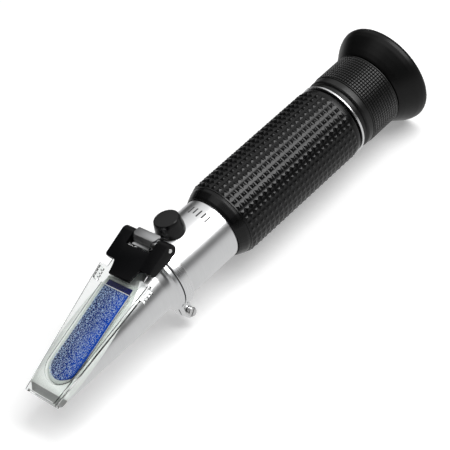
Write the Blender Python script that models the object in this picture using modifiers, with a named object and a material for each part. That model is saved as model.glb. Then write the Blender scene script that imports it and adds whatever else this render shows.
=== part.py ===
"""Handheld brewing refractometer with a hinged daylight plate and a screw-focus eyepiece.

Lengths below are millimetres along the instrument's axis (x) and out from it (r); AXIS_Z lifts the
axis so that the eyecup's lowest point stands at z = 0, and X_MID puts the origin under the middle.
The prism face, the hinge and the calibration cap are on top (+Z); the eyecup is at the +X end.
"""
import math

import bmesh
import bpy
from mathutils import Matrix, Vector

MM = 0.001
GAP = 0.3                      # clearance between pieces that rest on each other

# ---- driving dimensions (mm) ------------------------------------------------------------------
EYE_END_X = 87.5
EYECUP_R = 18.45
AXIS_Z = EYECUP_R
HEAD_R, BARREL_R, GRIP_R = 9.93, 11.16, 13.77
BARREL_BORE_R = 9.7
RING_R, RING_X0, RING_X1 = 12.45, -26.9, -23.2
FLANGE_R, FLANGE_X0 = 12.1, -28.7
END_RING_R, END_RING_X0, END_RING_X1 = 13.67, 58.3, 59.4
EYEPIECE_R, EYEPIECE_X0, EYEPIECE_X1 = 13.8, 61.1, 77.3

# The sloping prism face: a frame with u up the slope towards the hinge, w out of the face.
SLOPE = math.radians(18.4)
FACE_X, FACE_Z = -59.19, 1.184
PLATE_TIP_U, PLATE_REAR_U = -22.2, 23.8
PLATE_TIP_HALF, PLATE_REAR_HALF = 7.4, 12.25
PLATE_W0, PLATE_W1 = GAP, 1.9
PRISM_HALF, PRISM_NOSE_U, PRISM_REAR_U = 5.5, -14.6, 20.4
BRACKET_W1 = 3.5
PIN_U, PIN_W, PIN_R = 36.26, 1.34, 0.75
KNUCKLE_R = 2.16
CAP_X, CAP_R, CAP_Z0, CAP_Z1 = -16.1, 4.45, 11.5, 16.1
LUG_Y0, LUG_Y1, LUG_Z = -4.4, 2.0, -17.0
SCREW_X, SCREW_Z = -24.9, -14.7
THREAD_LEAD = 2.0
TIP_X = FACE_X + PLATE_TIP_U * math.cos(SLOPE) - (PLATE_W1 - 0.35) * math.sin(SLOPE)
X_MID = (TIP_X + EYE_END_X) / 2

for old in list(bpy.data.objects):
    bpy.data.objects.remove(old, do_unlink=True)

parts = bpy.data.collections.new("refractometer")
cutters = bpy.data.collections.new("refractometer_cutters")
bpy.context.scene.collection.children.link(parts)
bpy.context.scene.collection.children.link(cutters)


def material(name, colour, roughness, metallic=0.0, alpha=1.0):
    made = bpy.data.materials.new(name)
    made.use_nodes = True
    shader = made.node_tree.nodes["Principled BSDF"]
    shader.inputs["Base Color"].default_value = (*colour, 1.0)
    shader.inputs["Roughness"].default_value = roughness
    shader.inputs["Metallic"].default_value = metallic
    shader.inputs["Alpha"].default_value = alpha
    return made


SATIN = material("satin_metal", (0.72, 0.72, 0.72), 0.3, 1.0)
STEEL = material("steel", (0.6, 0.6, 0.6), 0.3, 1.0)
BRASS = material("brass", (0.78, 0.6, 0.3), 0.35, 1.0)
BLACK_METAL = material("black_metal", (0.02, 0.02, 0.02), 0.5, 0.0)
BLACK_PLASTIC = material("black_plastic", (0.02, 0.02, 0.022), 0.4)
RUBBER = material("black_rubber", (0.018, 0.018, 0.018), 0.55)
ACRYLIC = material("clear_acrylic", (0.9, 0.93, 0.92), 0.05, 0.0, 0.35)
GLASS = material("optical_glass", (0.85, 0.9, 0.95), 0.03, 0.0, 0.4)
BLUE_GLASS = material("blue_glass", (0.02, 0.06, 0.35), 0.08)


def world(x, y=0.0, z=0.0):
    """Axis millimetres (z measured from the axis) to world metres."""
    return Vector(((x - X_MID) * MM, y * MM, (z + AXIS_Z) * MM))


def face_point(u, y=0.0, w=0.0):
    """A point of the sloping face's frame, in axis millimetres."""
    return (
        FACE_X + u * math.cos(SLOPE) - w * math.sin(SLOPE),
        y,
        FACE_Z + u * math.sin(SLOPE) + w * math.cos(SLOPE),
    )


def add(mesh, name, shade, where=None, target=parts):
    obj = bpy.data.objects.new(name, mesh)
    if where is not None:
        obj.location = where
    obj.data.materials.append(shade)
    target.objects.link(obj)
    return obj


def smooth(obj, degrees=35):
    obj.data.shade_smooth()
    obj.data.set_sharp_from_angle(angle=math.radians(degrees))


def turned(name, profile, shade, steps=48, axis="X", where=None, target=parts):
    """A closed (axial, radius) outline in mm swept round the axis; ends may lie on the axis."""
    area = 0.0
    for (z0, r0), (z1, r1) in zip(profile, profile[1:] + profile[:1]):
        area += r0 * z1 - r1 * z0
    run = profile if area < 0 else profile[::-1]
    on_axis = [i for i, (_, r) in enumerate(run) if r == 0]
    closed = not on_axis
    if on_axis:
        # start just after the stretch that runs along the axis
        first = next(i for i in on_axis if run[i - 1][1] == 0)
        run = run[first:] + run[:first]
    mesh = bpy.data.meshes.new(name)
    edges = [(i, i + 1) for i in range(len(run) - 1)]
    if closed:
        edges.append((len(run) - 1, 0))
    mesh.from_pydata([(r * MM, 0, z * MM) for z, r in run], edges, [])
    obj = add(mesh, name, shade, world(X_MID) if where is None else where, target)
    if axis == "X":
        obj.rotation_euler = (0, math.pi / 2, 0)
    elif axis == "Y":
        obj.rotation_euler = (-math.pi / 2, 0, 0)
    screw = obj.modifiers.new("turn", "SCREW")
    screw.steps = screw.render_steps = steps
    screw.use_merge_vertices = True
    screw.merge_threshold = 1e-6
    screw.use_smooth_shade = True
    return obj


def along(*profile):
    """Axial stations given on the instrument's own axis, shifted to the part's origin."""
    return [(x - X_MID, r) for x, r in profile]


def bake(obj):
    """Replaces an object's modifiers and transform by the shape that they make, in world space."""
    bpy.context.view_layer.update()
    graph = bpy.context.evaluated_depsgraph_get()
    mesh = bpy.data.meshes.new_from_object(obj.evaluated_get(graph))
    mesh.transform(obj.matrix_world)
    if obj.matrix_world.determinant() < 0:
        mesh.flip_normals()
    build = bmesh.new()
    build.from_mesh(mesh)
    bmesh.ops.remove_doubles(build, verts=build.verts, dist=1e-6)
    build.to_mesh(mesh)
    build.free()
    shades = list(obj.data.materials)
    name, target = obj.name, obj.users_collection[0]
    bpy.data.objects.remove(obj, do_unlink=True)
    made = bpy.data.objects.new(name, mesh)
    mesh.materials.clear()
    mesh.materials.append(shades[0])
    target.objects.link(made)
    return made


def slab(name, outline, low, high, shade, frame="XZ", target=parts):
    """A flat outline (mm) as a filled 2D curve, given thickness from low to high and made a mesh.

    frame XZ: outline in (x, z) about the axis, thickness along y.
    frame FACE: outline in (u, y) on the sloping face, thickness along w.
    frame SIDE: outline in (u, w), thickness along y.
    """
    curve = bpy.data.curves.new(name, "CURVE")
    curve.dimensions = "2D"
    curve.fill_mode = "BOTH"
    curve.extrude = (high - low) / 2 * MM
    line = curve.splines.new("POLY")
    line.points.add(len(outline) - 1)
    for point, (a, b) in zip(line.points, outline):
        point.co = (a * MM, b * MM, 0, 1)
    line.use_cyclic_u = True
    obj = add(curve, name, shade, None, target)
    middle = (low + high) / 2 * MM
    slope = Matrix.Translation(world(FACE_X, 0, FACE_Z)) @ Matrix.Rotation(-SLOPE, 4, "Y")
    upright = Matrix.Rotation(math.pi / 2, 4, "X")
    if frame == "XZ":
        obj.matrix_world = (
            Matrix.Translation(world(0)) @ upright @ Matrix.Translation((0, 0, -middle))
        )
    elif frame == "SIDE":
        obj.matrix_world = slope @ upright @ Matrix.Translation((0, 0, -middle))
    else:
        obj.matrix_world = slope @ Matrix.Translation((0, 0, middle))
    return bake(obj)


def rounded(corners, radii, steps=4):
    """A closed outline whose corners are replaced by arcs of the given radii."""
    found = []
    count = len(corners)
    for i, corner in enumerate(corners):
        here = Vector(corner)
        radius = radii[i] if isinstance(radii, (list, tuple)) else radii
        if radius <= 0:
            found.append(tuple(here))
            continue
        back = (Vector(corners[i - 1]) - here).normalized()
        ahead = (Vector(corners[(i + 1) % count]) - here).normalized()
        half = back.angle(ahead) / 2
        reach = radius / math.tan(half)
        centre = here + (back + ahead).normalized() * (radius / math.sin(half))
        start = (here + back * reach) - centre
        end = (here + ahead * reach) - centre
        turn = math.atan2(start.x * end.y - start.y * end.x, start.dot(end))
        for step in range(steps + 1):
            angle = turn * step / steps
            c, s = math.cos(angle), math.sin(angle)
            spot = centre + Vector((start.x * c - start.y * s, start.x * s + start.y * c))
            found.append(tuple(spot))
    return found


def arc(cx, cy, radius, start, end, steps):
    """Points of an arc, angles in degrees."""
    turn = [math.radians(start + (end - start) * i / steps) for i in range(steps + 1)]
    return [(cx + radius * math.cos(a), cy + radius * math.sin(a)) for a in turn]


def cut(obj, tool, operation="DIFFERENCE"):
    """Applies one exact Boolean, so that the result can be cut again, and removes nothing else."""
    change = obj.modifiers.new(tool.name, "BOOLEAN")
    change.object = tool
    change.operation = operation
    change.solver = "EXACT"
    tool.hide_render = True
    tool.display_type = "WIRE"
    return obj


def cutter_turned(name, profile, steps=32, axis="X", where=None):
    return turned(name, profile, STEEL, steps, axis, where, cutters)


def cutter_box(name, low, high):
    """A box between two corners in axis millimetres."""
    bpy.ops.mesh.primitive_cube_add(size=1)
    obj = bpy.context.object
    obj.name = name
    size = [h - l for l, h in zip(low, high)]
    middle = [(h + l) / 2 for l, h in zip(low, high)]
    obj.data.transform(Matrix.Diagonal((*[s * MM for s in size], 1)))
    obj.location = world(*middle)
    for holder in list(obj.users_collection):
        holder.objects.unlink(obj)
    cutters.objects.link(obj)
    obj.data.materials.append(STEEL)
    return obj


def recentre(obj, spot):
    """Moves a baked object's origin to a joint's axis without moving the shape."""
    obj.data.transform(Matrix.Translation(-spot))
    obj.location = spot
    return obj


# ---- prism head: a round bar cut obliquely, with a flange and a spigot into the barrel ----------
head = turned(
    "prism_head",
    along(
        (-79.0, 0), (-79.0, 9.0), (-78.5, HEAD_R), (-30.6, HEAD_R), (-29.4, 10.4),
        (FLANGE_X0, 11.3), (FLANGE_X0 + 0.3, FLANGE_R), (RING_X0 - GAP, FLANGE_R),
        (RING_X0 - GAP, 9.4), (-20.0, 9.4), (-20.0, 7.6), (-33.0, 7.6), (-33.0, 0),
    ),
    SATIN,
)
face_cut = slab(
    "cut_face",
    [(-30.0, -1.8), (-21.2, -1.8), (-18.7, -0.5), (30.0, -0.5), (47.0, 25.0), (-30.0, 25.0)],
    -20.0, 20.0, STEEL, "SIDE", cutters,
)
cut(head, face_cut)
nose = arc(PRISM_NOSE_U + PRISM_HALF, 0, PRISM_HALF, 90, 270, 12)
prism_outline = nose + [(PRISM_REAR_U, -PRISM_HALF), (PRISM_REAR_U, PRISM_HALF)]


def grown(outline, by):
    """The prism outline with its width and both ends let out by the same amount."""
    return arc(PRISM_NOSE_U + PRISM_HALF, 0, PRISM_HALF + by, 90, 270, 12) + [
        (PRISM_REAR_U + by, -PRISM_HALF - by),
        (PRISM_REAR_U + by, PRISM_HALF + by),
    ]


cut(head, slab("cut_prism_pocket", grown(prism_outline, 1.1), -4.6, 4.0, STEEL, "FACE", cutters))
cut(head, cutter_turned("cut_light_way", along((-50.0, 0), (-50.0, 4.2), (-30, 4.2), (-30, 0))))

# ---- main prism: blue-coated glass with a round nose and a thicker rear block --------------------
prism = slab("main_prism", prism_outline, -4.2, 0.0, BLUE_GLASS, "FACE")
seal = slab("prism_seal", grown(prism_outline, 0.8), -2.4, -0.3, RUBBER, "FACE")
cut(seal, slab("cut_seal", grown(prism_outline, 0.3), -3.0, 1.0, STEEL, "FACE", cutters))

# ---- clamp ring: split band with a hinge lug on top and a screw lug underneath -------------------
ring = turned(
    "clamp_ring",
    along(
        (RING_X0, 11.46), (RING_X0, 12.15), (RING_X0 + 0.3, RING_R), (RING_X1 - 0.3, RING_R),
        (RING_X1, 12.15), (RING_X1, 11.46),
    ),
    SATIN, 48,
)
pin_x, _, pin_z = face_point(PIN_U, 0, PIN_W)
lug_outline = (
    [(RING_X0 + 0.05, 9.8), (RING_X1 - 0.05, 9.8)]
    + arc(pin_x, pin_z, 1.9, 0, 60, 4)
    + [(pin_x - 1.2, pin_z + 1.65)]
    + arc(pin_x, pin_z, 1.9, 150, 180, 2)
)
top_lug = slab("join_top_lug", lug_outline, -5.3, 5.3, SATIN, "XZ", cutters)
clear_bore = cutter_turned("cut_lug_bore", along((-32, 0), (-32, 11.8), (-20, 11.8), (-20, 0)), 60)
cut(top_lug, clear_bore)
cut(ring, top_lug, "UNION")
low_lug = slab(
    "join_low_lug",
    rounded([(RING_X0 + 0.37, -10.5), (RING_X0 + 0.37, LUG_Z), (RING_X1 - 0.17, LUG_Z), (RING_X1 - 0.17, -10.5)],
            [0, 0.9, 0.9, 0], 3),
    LUG_Y0, LUG_Y1, SATIN, "XZ", cutters,
)
cut(low_lug, clear_bore)
cut(ring, low_lug, "UNION")
cut(ring, cutter_box("cut_ring_slot", (-30, -1.5, -20), (-20, -0.9, -9)))
cut(ring, cutter_turned("cut_pin_bore", [(-8, 0), (-8, PIN_R + 0.1), (8, PIN_R + 0.1), (8, 0)], 24, "Y",
                        world(pin_x, 0, pin_z)))
cut(ring, cutter_turned("cut_screw_bore", [(-8, 0), (-8, 1.3), (8, 1.3), (8, 0)], 20, "Y",
                        world(SCREW_X, 0, SCREW_Z)))

clamp_screw = turned(
    "clamp_screw",
    [(LUG_Y0 - 1.7, 0), (LUG_Y0 - 1.7, 1.3), (LUG_Y0 - 1.4, 1.6), (LUG_Y0 - GAP, 1.6), (LUG_Y0 - GAP, 1.0),
     (LUG_Y1 - 0.2, 1.0), (LUG_Y1 + 0.1, 0.7), (LUG_Y1 + 0.1, 0)],
    STEEL, 20, "Y", world(SCREW_X, 0, SCREW_Z),
)
cut(clamp_screw, cutter_box("cut_screw_slot", (SCREW_X - 0.25, LUG_Y0 - 3, SCREW_Z - 3),
                            (SCREW_X + 0.25, LUG_Y0 - 1.0, SCREW_Z + 3)))

# ---- hinge: pin, detent spring on the lug, black bracket and clear daylight plate ----------------
turned(
    "hinge_pin",
    [(-10.6, 0), (-10.6, 0.55), (-10.4, PIN_R), (10.4, PIN_R), (10.6, 0.55), (10.6, 0)],
    STEEL, 24, "Y", world(pin_x, 0, pin_z),
)
spring = slab(
    "hinge_spring",
    [(pin_x + 2.0, pin_z + 1.95), (pin_x + 2.0, pin_z + 2.55), (pin_x - 1.3, pin_z + 2.55),
     (pin_x - 2.2, pin_z + 2.2), (pin_x - 2.75, pin_z + 1.2), (pin_x - 3.45, pin_z + 0.35),
     (pin_x - 3.0, pin_z + 0.0), (pin_x - 2.2, pin_z + 0.8), (pin_x - 1.7, pin_z + 1.7),
     (pin_x - 1.2, pin_z + 1.95)],
    -5.1, 5.1, STEEL, "XZ",
)
for side in (-1, 1):
    ends = sorted((side * 3.9, side * 7.0))
    cut(spring, cutter_box(f"cut_spring_{side + 1}", (pin_x - 6, ends[0], pin_z - 3), (pin_x - 2.05, ends[1], pin_z + 1.7)))

bracket_side = (
    [(21.4, PLATE_W1 + GAP), (21.4, BRACKET_W1 - 0.6), (22.4, BRACKET_W1)]
    + arc(PIN_U, PIN_W, KNUCKLE_R, 90, -100, 14)
    + [(PIN_U - 2.6, -0.75), (27.0, 0.6), (26.4, 1.0), (26.4, PLATE_W1 + GAP)]
)
bracket_plan = rounded(
    [(20.0, -4.4), (24.6, -5.3), (26.4, -5.9), (26.45, -10.6), (45.0, -10.6),
     (45.0, 10.6), (26.45, 10.6), (26.4, 5.9), (24.6, 5.3), (20.0, 4.4)],
    [0, 0, 0.3, 0.7, 0, 0, 0.7, 0.3, 0, 0], 3,
)
bracket = slab("hinge_bracket", bracket_side, -11.5, 11.5, BLACK_PLASTIC, "SIDE")
cut(bracket, slab("keep_bracket_plan", bracket_plan, -6, 9, STEEL, "FACE", cutters), "INTERSECT")
cut(bracket, slab("cut_bracket_under", [(19.0, -8.9), (PIN_U - 2.9, -8.9), (PIN_U - 2.9, 8.9), (19.0, 8.9)],
                  -6, PLATE_W1 + GAP + 0.01, STEEL, "FACE", cutters))
cut(bracket, slab("cut_notch", [(PIN_U - 3.95, -5.65), (45, -5.65), (45, 5.65), (PIN_U - 3.95, 5.65)],
                  -7, 8, STEEL, "FACE", cutters))
cut(bracket, cutter_turned("cut_bracket_pin", [(-12, 0), (-12, PIN_R + 0.1), (12, PIN_R + 0.1), (12, 0)], 24, "Y",
                           world(pin_x, 0, pin_z)))
recentre(bake(bracket), world(pin_x, 0, pin_z))


def plate_half(u):
    """Half width of the daylight plate at a station up the slope."""
    share = (u - PLATE_TIP_U) / (PLATE_REAR_U - PLATE_TIP_U)
    return PLATE_TIP_HALF + (PLATE_REAR_HALF - PLATE_TIP_HALF) * share


def mirrored(side):
    """Completes an outline given for +y by its mirror image."""
    return side + [(u, -y) for u, y in reversed(side)]


def plate_outline(inset, tail):
    corners = [
        (PLATE_TIP_U + inset, plate_half(PLATE_TIP_U) - inset),
        (PLATE_REAR_U - inset, plate_half(PLATE_REAR_U) - inset),
        (PLATE_REAR_U - inset, 8.4), (tail, 8.4),
    ]
    whole = mirrored(corners)
    return rounded(whole, [0.5, 1.0, 0.4, 0.4, 0.4, 0.4, 1.0, 0.5], 3)


plate = slab("daylight_plate", plate_outline(0.0, 31.5), PLATE_W0 + 0.5, PLATE_W1 - 0.35, ACRYLIC, "FACE")
cut(plate, slab("join_plate_top", plate_outline(0.35, 31.3), PLATE_W1 - 0.6, PLATE_W1, ACRYLIC, "FACE", cutters), "UNION")
pad = arc(-9.6, 0, 6.9, 90, 270, 12) + [(18.3, -6.9), (18.3, 6.9)]
cut(plate, slab("join_plate_pad", pad, PLATE_W0, PLATE_W0 + 0.7, ACRYLIC, "FACE", cutters), "UNION")
cut(plate, slab("join_plate_lip", [(PLATE_TIP_U, 1.1), (PLATE_TIP_U, -0.8), (PLATE_TIP_U + 0.3, -1.1),
                                   (PLATE_TIP_U + 0.6, -0.8), (PLATE_TIP_U + 0.9, 1.1)],
                -6.7, 6.7, ACRYLIC, "SIDE", cutters), "UNION")
for side in (-1, 1):
    ear = [(18.4, side * (plate_half(18.4) - 0.02)), (22.9, side * (plate_half(22.9) - 0.02)),
           (22.9, side * (plate_half(22.9) - 1.3)), (18.4, side * (plate_half(18.4) - 1.3))]
    cut(plate, slab(f"join_ear_{side + 1}", ear, -1.5, PLATE_W0 + 0.8, ACRYLIC, "FACE", cutters), "UNION")
plate = bake(plate)
recentre(plate, world(pin_x, 0, pin_z))
for side, name in ((1, "plate_screw_left"), (-1, "plate_screw_right")):
    x, y, z = face_point(28.6, side * 4.6, 0)
    screw = turned(
        name,
        [(PLATE_W0 - 0.55, 0), (PLATE_W0 - 0.55, 1.2), (PLATE_W0 + 0.2, 1.5), (PLATE_W0 + 0.2, 0.7),
         (BRACKET_W1 - 0.65, 0.7), (BRACKET_W1 - 0.65, 0)],
        STEEL, 16, "Z", world(x, y, z),
    )
    screw.rotation_euler = (0, -SLOPE, 0)
    hole = turned(f"cut_{name}", [(-3, 0), (-3, 1.0), (BRACKET_W1 - 0.35, 1.0), (BRACKET_W1 - 0.35, 0)],
                  STEEL, 16, "Z", world(x, y, z), cutters)
    hole.rotation_euler = (0, -SLOPE, 0)
    plate_now = bpy.data.objects["daylight_plate"]
    bracket_now = bpy.data.objects["hinge_bracket"]
    cut(plate_now, hole)
    cut(bracket_now, hole)

# ---- barrel tube, calibration boss, screw and cap ------------------------------------------------
barrel = turned(
    "barrel_tube",
    along(
        (RING_X0 + 0.3, BARREL_BORE_R), (RING_X0 + 0.3, BARREL_R), (-1.6, BARREL_R),
        (-1.6, 10.9), (END_RING_X1, 10.9), (END_RING_X1, BARREL_BORE_R),
    ),
    SATIN, 48,
)
cut(barrel, cutter_turned("cut_barrel_hole", [(6, 0), (6, 2.2), (14, 2.2), (14, 0)], 24, "Z",
                          world(CAP_X)))
boss = turned(
    "calibration_boss",
    [(9.0, 2.2), (9.0, 4.75), (11.3, 4.75), (11.55, 4.5), (11.55, 3.1), (13.0, 3.1), (13.0, 2.2)],
    SATIN, 32, "Z", world(CAP_X),
)
cut(boss, cutter_turned("cut_boss_saddle",
                        along((-30, 0), (-30, BARREL_R + GAP), (0, BARREL_R + GAP), (0, 0)), 48))
cal_screw = turned(
    "calibration_screw",
    [(8.3, 0), (8.3, 0.9), (8.9, 1.6), (13.3, 1.6), (13.6, 1.3), (13.6, 0)],
    BRASS, 24, "Z", world(CAP_X),
)
cut(cal_screw, cutter_box("cut_cal_slot", (CAP_X - 3, -0.3, 12.9), (CAP_X + 3, 0.3, 15)))
turned(
    "calibration_cap",
    [(CAP_Z0 + 0.4, 3.4), (CAP_Z0 + 0.4, CAP_R - 0.15), (CAP_Z0 + 0.7, CAP_R), (CAP_Z1 - 1.3, 4.32),
     (CAP_Z1 - 0.45, 4.05), (CAP_Z1, 3.5), (CAP_Z1, 0), (14.6, 0), (14.6, 3.4)],
    RUBBER, 32, "Z", world(CAP_X),
)

# ---- objective lens in a cell that the screw pushes across the axis against a bimetal strip ------
CELL_X0, CELL_X1 = -18.9, -13.3
turned(
    "lens_cell",
    along((CELL_X0, 5.6), (CELL_X0, 7.9), (CELL_X1, 7.9), (CELL_X1, 7.1), (CELL_X0 + 1.4, 7.1),
          (CELL_X0 + 1.4, 5.6)),
    BRASS, 32,
)


def lens(name, x0, x1, radius, bulge, shade=GLASS, steps=32, target=parts):
    """A double-convex lens with a ground edge from x0 to x1 and both faces bulging by bulge."""
    profile = [(x0 - bulge, 0)]
    for i in range(1, 4):
        share = i / 4
        profile.append((x0 - bulge * (1 - share * share), radius * share))
    profile += [(x0, radius), (x1, radius)]
    for i in range(3, 0, -1):
        share = i / 4
        profile.append((x1 + bulge * (1 - share * share), radius * share))
    profile.append((x1 + bulge, 0))
    return turned(name, along(*profile), shade, steps, target=target)


def hoop(name, x0, x1, inner, outer, shade, steps=32):
    """A plain ring round the instrument's axis."""
    return turned(name, along((x0, inner), (x0, outer), (x1, outer), (x1, inner)), shade, steps)


lens("objective_lens", -17.2, -15.4, 6.8, 0.9)
hoop("objective_retainer", -15.1, -13.6, 5.6, 6.8, BLACK_METAL)
strip = slab(
    "bimetal_strip",
    [(-19.0, -9.0), (-5.0, -9.0), (-5.0, -9.3), (-2.0, -9.3), (-2.0, -7.4), (-5.0, -7.4), (-5.0, -8.5),
     (-19.0, -8.5)],
    -1.7, 1.7, BRASS, "XZ",
)

# ---- light stop and reticle ----------------------------------------------------------------------
hoop("field_stop", 10.0, 11.2, 5.5, 9.4, BLACK_METAL)
hoop("reticle_seat", 33.0, 35.7, 7.2, 9.4, BRASS)
turned("reticle_glass", along((36.0, 0), (36.0, 9.1), (37.4, 9.1), (37.4, 0)), GLASS, 32)
hoop("reticle_retainer", 37.7, 39.2, 7.4, 9.4, BLACK_METAL)

# ---- rubber grip and its metal end ring ----------------------------------------------------------
turned(
    "grip_sleeve",
    along(
        (-1.2, 11.25), (-1.2, 11.55), (-0.3, 12.1), (1.0, 12.75), (2.6, 13.3), (4.6, 13.65),
        (6.5, GRIP_R), (54.0, GRIP_R), (56.2, 13.6), (57.5, 13.2), (58.0, 12.6), (58.0, 11.25),
    ),
    RUBBER, 48,
)
turned(
    "grip_end_ring",
    along((END_RING_X0, 11.25), (END_RING_X0, END_RING_R - 0.25), (END_RING_X0 + 0.25, END_RING_R),
          (END_RING_X1 - 0.25, END_RING_R), (END_RING_X1, END_RING_R - 0.25), (END_RING_X1, 11.25)),
    SATIN, 48,
)

# ---- screw-focus eyepiece: friction ring, tube with two lenses, and rubber eyecup ----------------
hoop("focus_friction_ring", 42.4, 43.6, 7.6, 9.35, BLACK_PLASTIC)
turned(
    "eyepiece_tube",
    along(
        (44.0, 8.3), (44.0, 9.1), (44.4, 9.4), (59.8, 9.4), (59.8, 12.4), (60.1, 12.6), (61.2, 12.6),
        (61.5, 13.3), (61.9, 13.55), (64.0, 13.55), (64.3, EYEPIECE_R), (76.7, EYEPIECE_R),
        (EYEPIECE_X1, 13.4), (EYEPIECE_X1, 12.0), (80.0, 12.0), (80.0, 10.6), (68.0, 10.6), (68.0, 8.3),
    ),
    BLACK_METAL, 48,
)
lens("field_lens", 46.2, 48.2, 8.0, 1.2)
hoop("lens_spacer", 48.6, 67.4, 6.9, 8.0, BLACK_METAL)
lens("eye_lens", 69.6, 73.2, 10.3, 1.3)
hoop("lens_retaining_ring", 75.0, 77.0, 8.4, 10.3, BLACK_METAL)
turned(
    "eyecup",
    along(
        (77.6, 12.3), (77.6, 13.6), (78.1, 14.1), (79.4, 15.1), (81.6, 16.55), (83.4, 17.65),
        (84.9, 18.25), (85.9, EYECUP_R), (86.7, 18.25), (87.25, 17.8), (EYE_END_X, 17.2),
        (EYE_END_X, 15.6), (86.3, 15.0), (84.0, 13.4), (81.2, 10.8), (80.3, 10.8), (80.3, 12.3),
    ),
    RUBBER, 48,
)

for obj in parts.objects:
    if obj.type == "MESH" and not obj.modifiers:
        smooth(obj)
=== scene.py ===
import math

import bmesh
import bpy
from mathutils import Matrix, Vector


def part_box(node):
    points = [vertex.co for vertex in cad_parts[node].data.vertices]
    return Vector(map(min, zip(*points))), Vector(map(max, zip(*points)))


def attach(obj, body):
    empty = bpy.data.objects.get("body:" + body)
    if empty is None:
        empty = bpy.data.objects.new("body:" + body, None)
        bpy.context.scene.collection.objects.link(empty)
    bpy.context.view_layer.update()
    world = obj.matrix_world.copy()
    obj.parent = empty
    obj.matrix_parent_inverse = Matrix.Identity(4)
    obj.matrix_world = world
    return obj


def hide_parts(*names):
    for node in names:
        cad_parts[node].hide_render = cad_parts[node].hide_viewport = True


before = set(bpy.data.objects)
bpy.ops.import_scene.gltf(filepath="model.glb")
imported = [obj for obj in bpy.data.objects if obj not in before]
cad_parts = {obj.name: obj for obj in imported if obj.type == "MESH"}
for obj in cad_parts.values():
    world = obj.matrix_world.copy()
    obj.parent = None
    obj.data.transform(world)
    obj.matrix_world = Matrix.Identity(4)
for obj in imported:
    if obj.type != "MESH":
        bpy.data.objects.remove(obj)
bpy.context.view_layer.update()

# ---------------------------------------------------------------- the prism head
# The front tube: brass, turned, cut off at a slope and satin chromed. Its flange
# butts against the barrel under the clamp ring, and the sloping face is ground
# flat, with a pocket for the prism and a bored way for the light behind it.

rim_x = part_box("eyecup")[1].x
axis_z = (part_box("eyecup")[0].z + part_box("eyecup")[1].z) / 2
SLOPE = math.radians(18.4)


def on_axis(x, y, z):
    """A point in millimetres from the tube's axis; the eyecup's rim is at x 87.5."""
    return Vector((rim_x + (x - 87.5) * 0.001, y * 0.001, axis_z + z * 0.001))


def on_slope(u, v, w):
    """A point in millimetres on the ground face: u up the slope, v across, w out of it."""
    return on_axis(
        -59.19 + u * math.cos(SLOPE) - w * math.sin(SLOPE),
        v,
        1.184 + u * math.sin(SLOPE) + w * math.cos(SLOPE),
    )


def along_slope(u, w, v):
    """For a slab that stands along the slope and is thick across it."""
    return on_slope(u, v, w)


def solid(name, points, faces, put):
    """A closed mesh of these corners, facing out."""
    mesh = bpy.data.meshes.new(name)
    mesh.from_pydata([put(*p) for p in points], [], faces)
    form = bmesh.new()
    form.from_mesh(mesh)
    bmesh.ops.recalc_face_normals(form, faces=form.faces)
    form.to_mesh(mesh)
    form.free()
    piece = bpy.data.objects.new(name, mesh)
    bpy.context.scene.collection.objects.link(piece)
    return piece


def rounded(corners, radii, steps=5):
    """An outline with an arc at each corner; radii is one number, or one a corner."""
    line = []
    for i, corner in enumerate(corners):
        radius = radii[i] if isinstance(radii, (list, tuple)) else radii
        p = Vector(corner)
        a = Vector(corners[i - 1]) - p
        b = Vector(corners[(i + 1) % len(corners)]) - p
        halfway = a.normalized() + b.normalized()
        if radius <= 0 or halfway.length < 0.02:
            line.append(p)
            continue
        half = a.angle(b) / 2
        reach = min(radius / math.tan(half), a.length * 0.48, b.length * 0.48)
        radius = reach * math.tan(half)
        centre = p + halfway.normalized() * (radius / math.sin(half))
        start = p + a.normalized() * reach - centre
        end = p + b.normalized() * reach - centre
        for k in range(steps + 1):
            line.append(centre + start.lerp(end, k / steps).normalized() * radius)
    return line


def turned(name, profile, put=on_axis, steps=160):
    """A piece off the lathe, from (along, radius, edge rounding) corners."""
    line = rounded([c[:2] for c in profile], [c[2] if len(c) > 2 else 0 for c in profile])
    points, rings, faces = [], [], []
    for along, radius in line:
        count = 1 if radius < 1e-6 else steps
        rings.append(range(len(points), len(points) + count))
        for k in range(count):
            turn = 2 * math.pi * k / steps
            points.append((along, radius * math.cos(turn), radius * math.sin(turn)))
    for i, low in enumerate(rings):
        high = rings[(i + 1) % len(rings)]
        for k in range(steps if len(low) + len(high) > 2 else 0):
            j = (k + 1) % steps
            if len(low) == 1:
                faces.append((low[0], high[k], high[j]))
            elif len(high) == 1:
                faces.append((low[k], low[j], high[0]))
            else:
                faces.append((low[k], low[j], high[j], high[k]))
    return solid(name, points, faces, put)


def inset(outline, distance):
    """The outline moved inwards by that distance."""
    n = len(outline)
    area = sum(outline[i - 1][0] * outline[i][1] - outline[i][0] * outline[i - 1][1] for i in range(n))
    way = 1 if area > 0 else -1
    moved = []
    for i in range(n):
        p = Vector(outline[i])
        before = (p - Vector(outline[i - 1])).normalized()
        after = (Vector(outline[(i + 1) % n]) - p).normalized()
        first = Vector((-before.y, before.x)) * way
        second = Vector((-after.y, after.x)) * way
        moved.append(p + (first + second) * (distance / (1 + first.dot(second))))
    return moved


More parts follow.
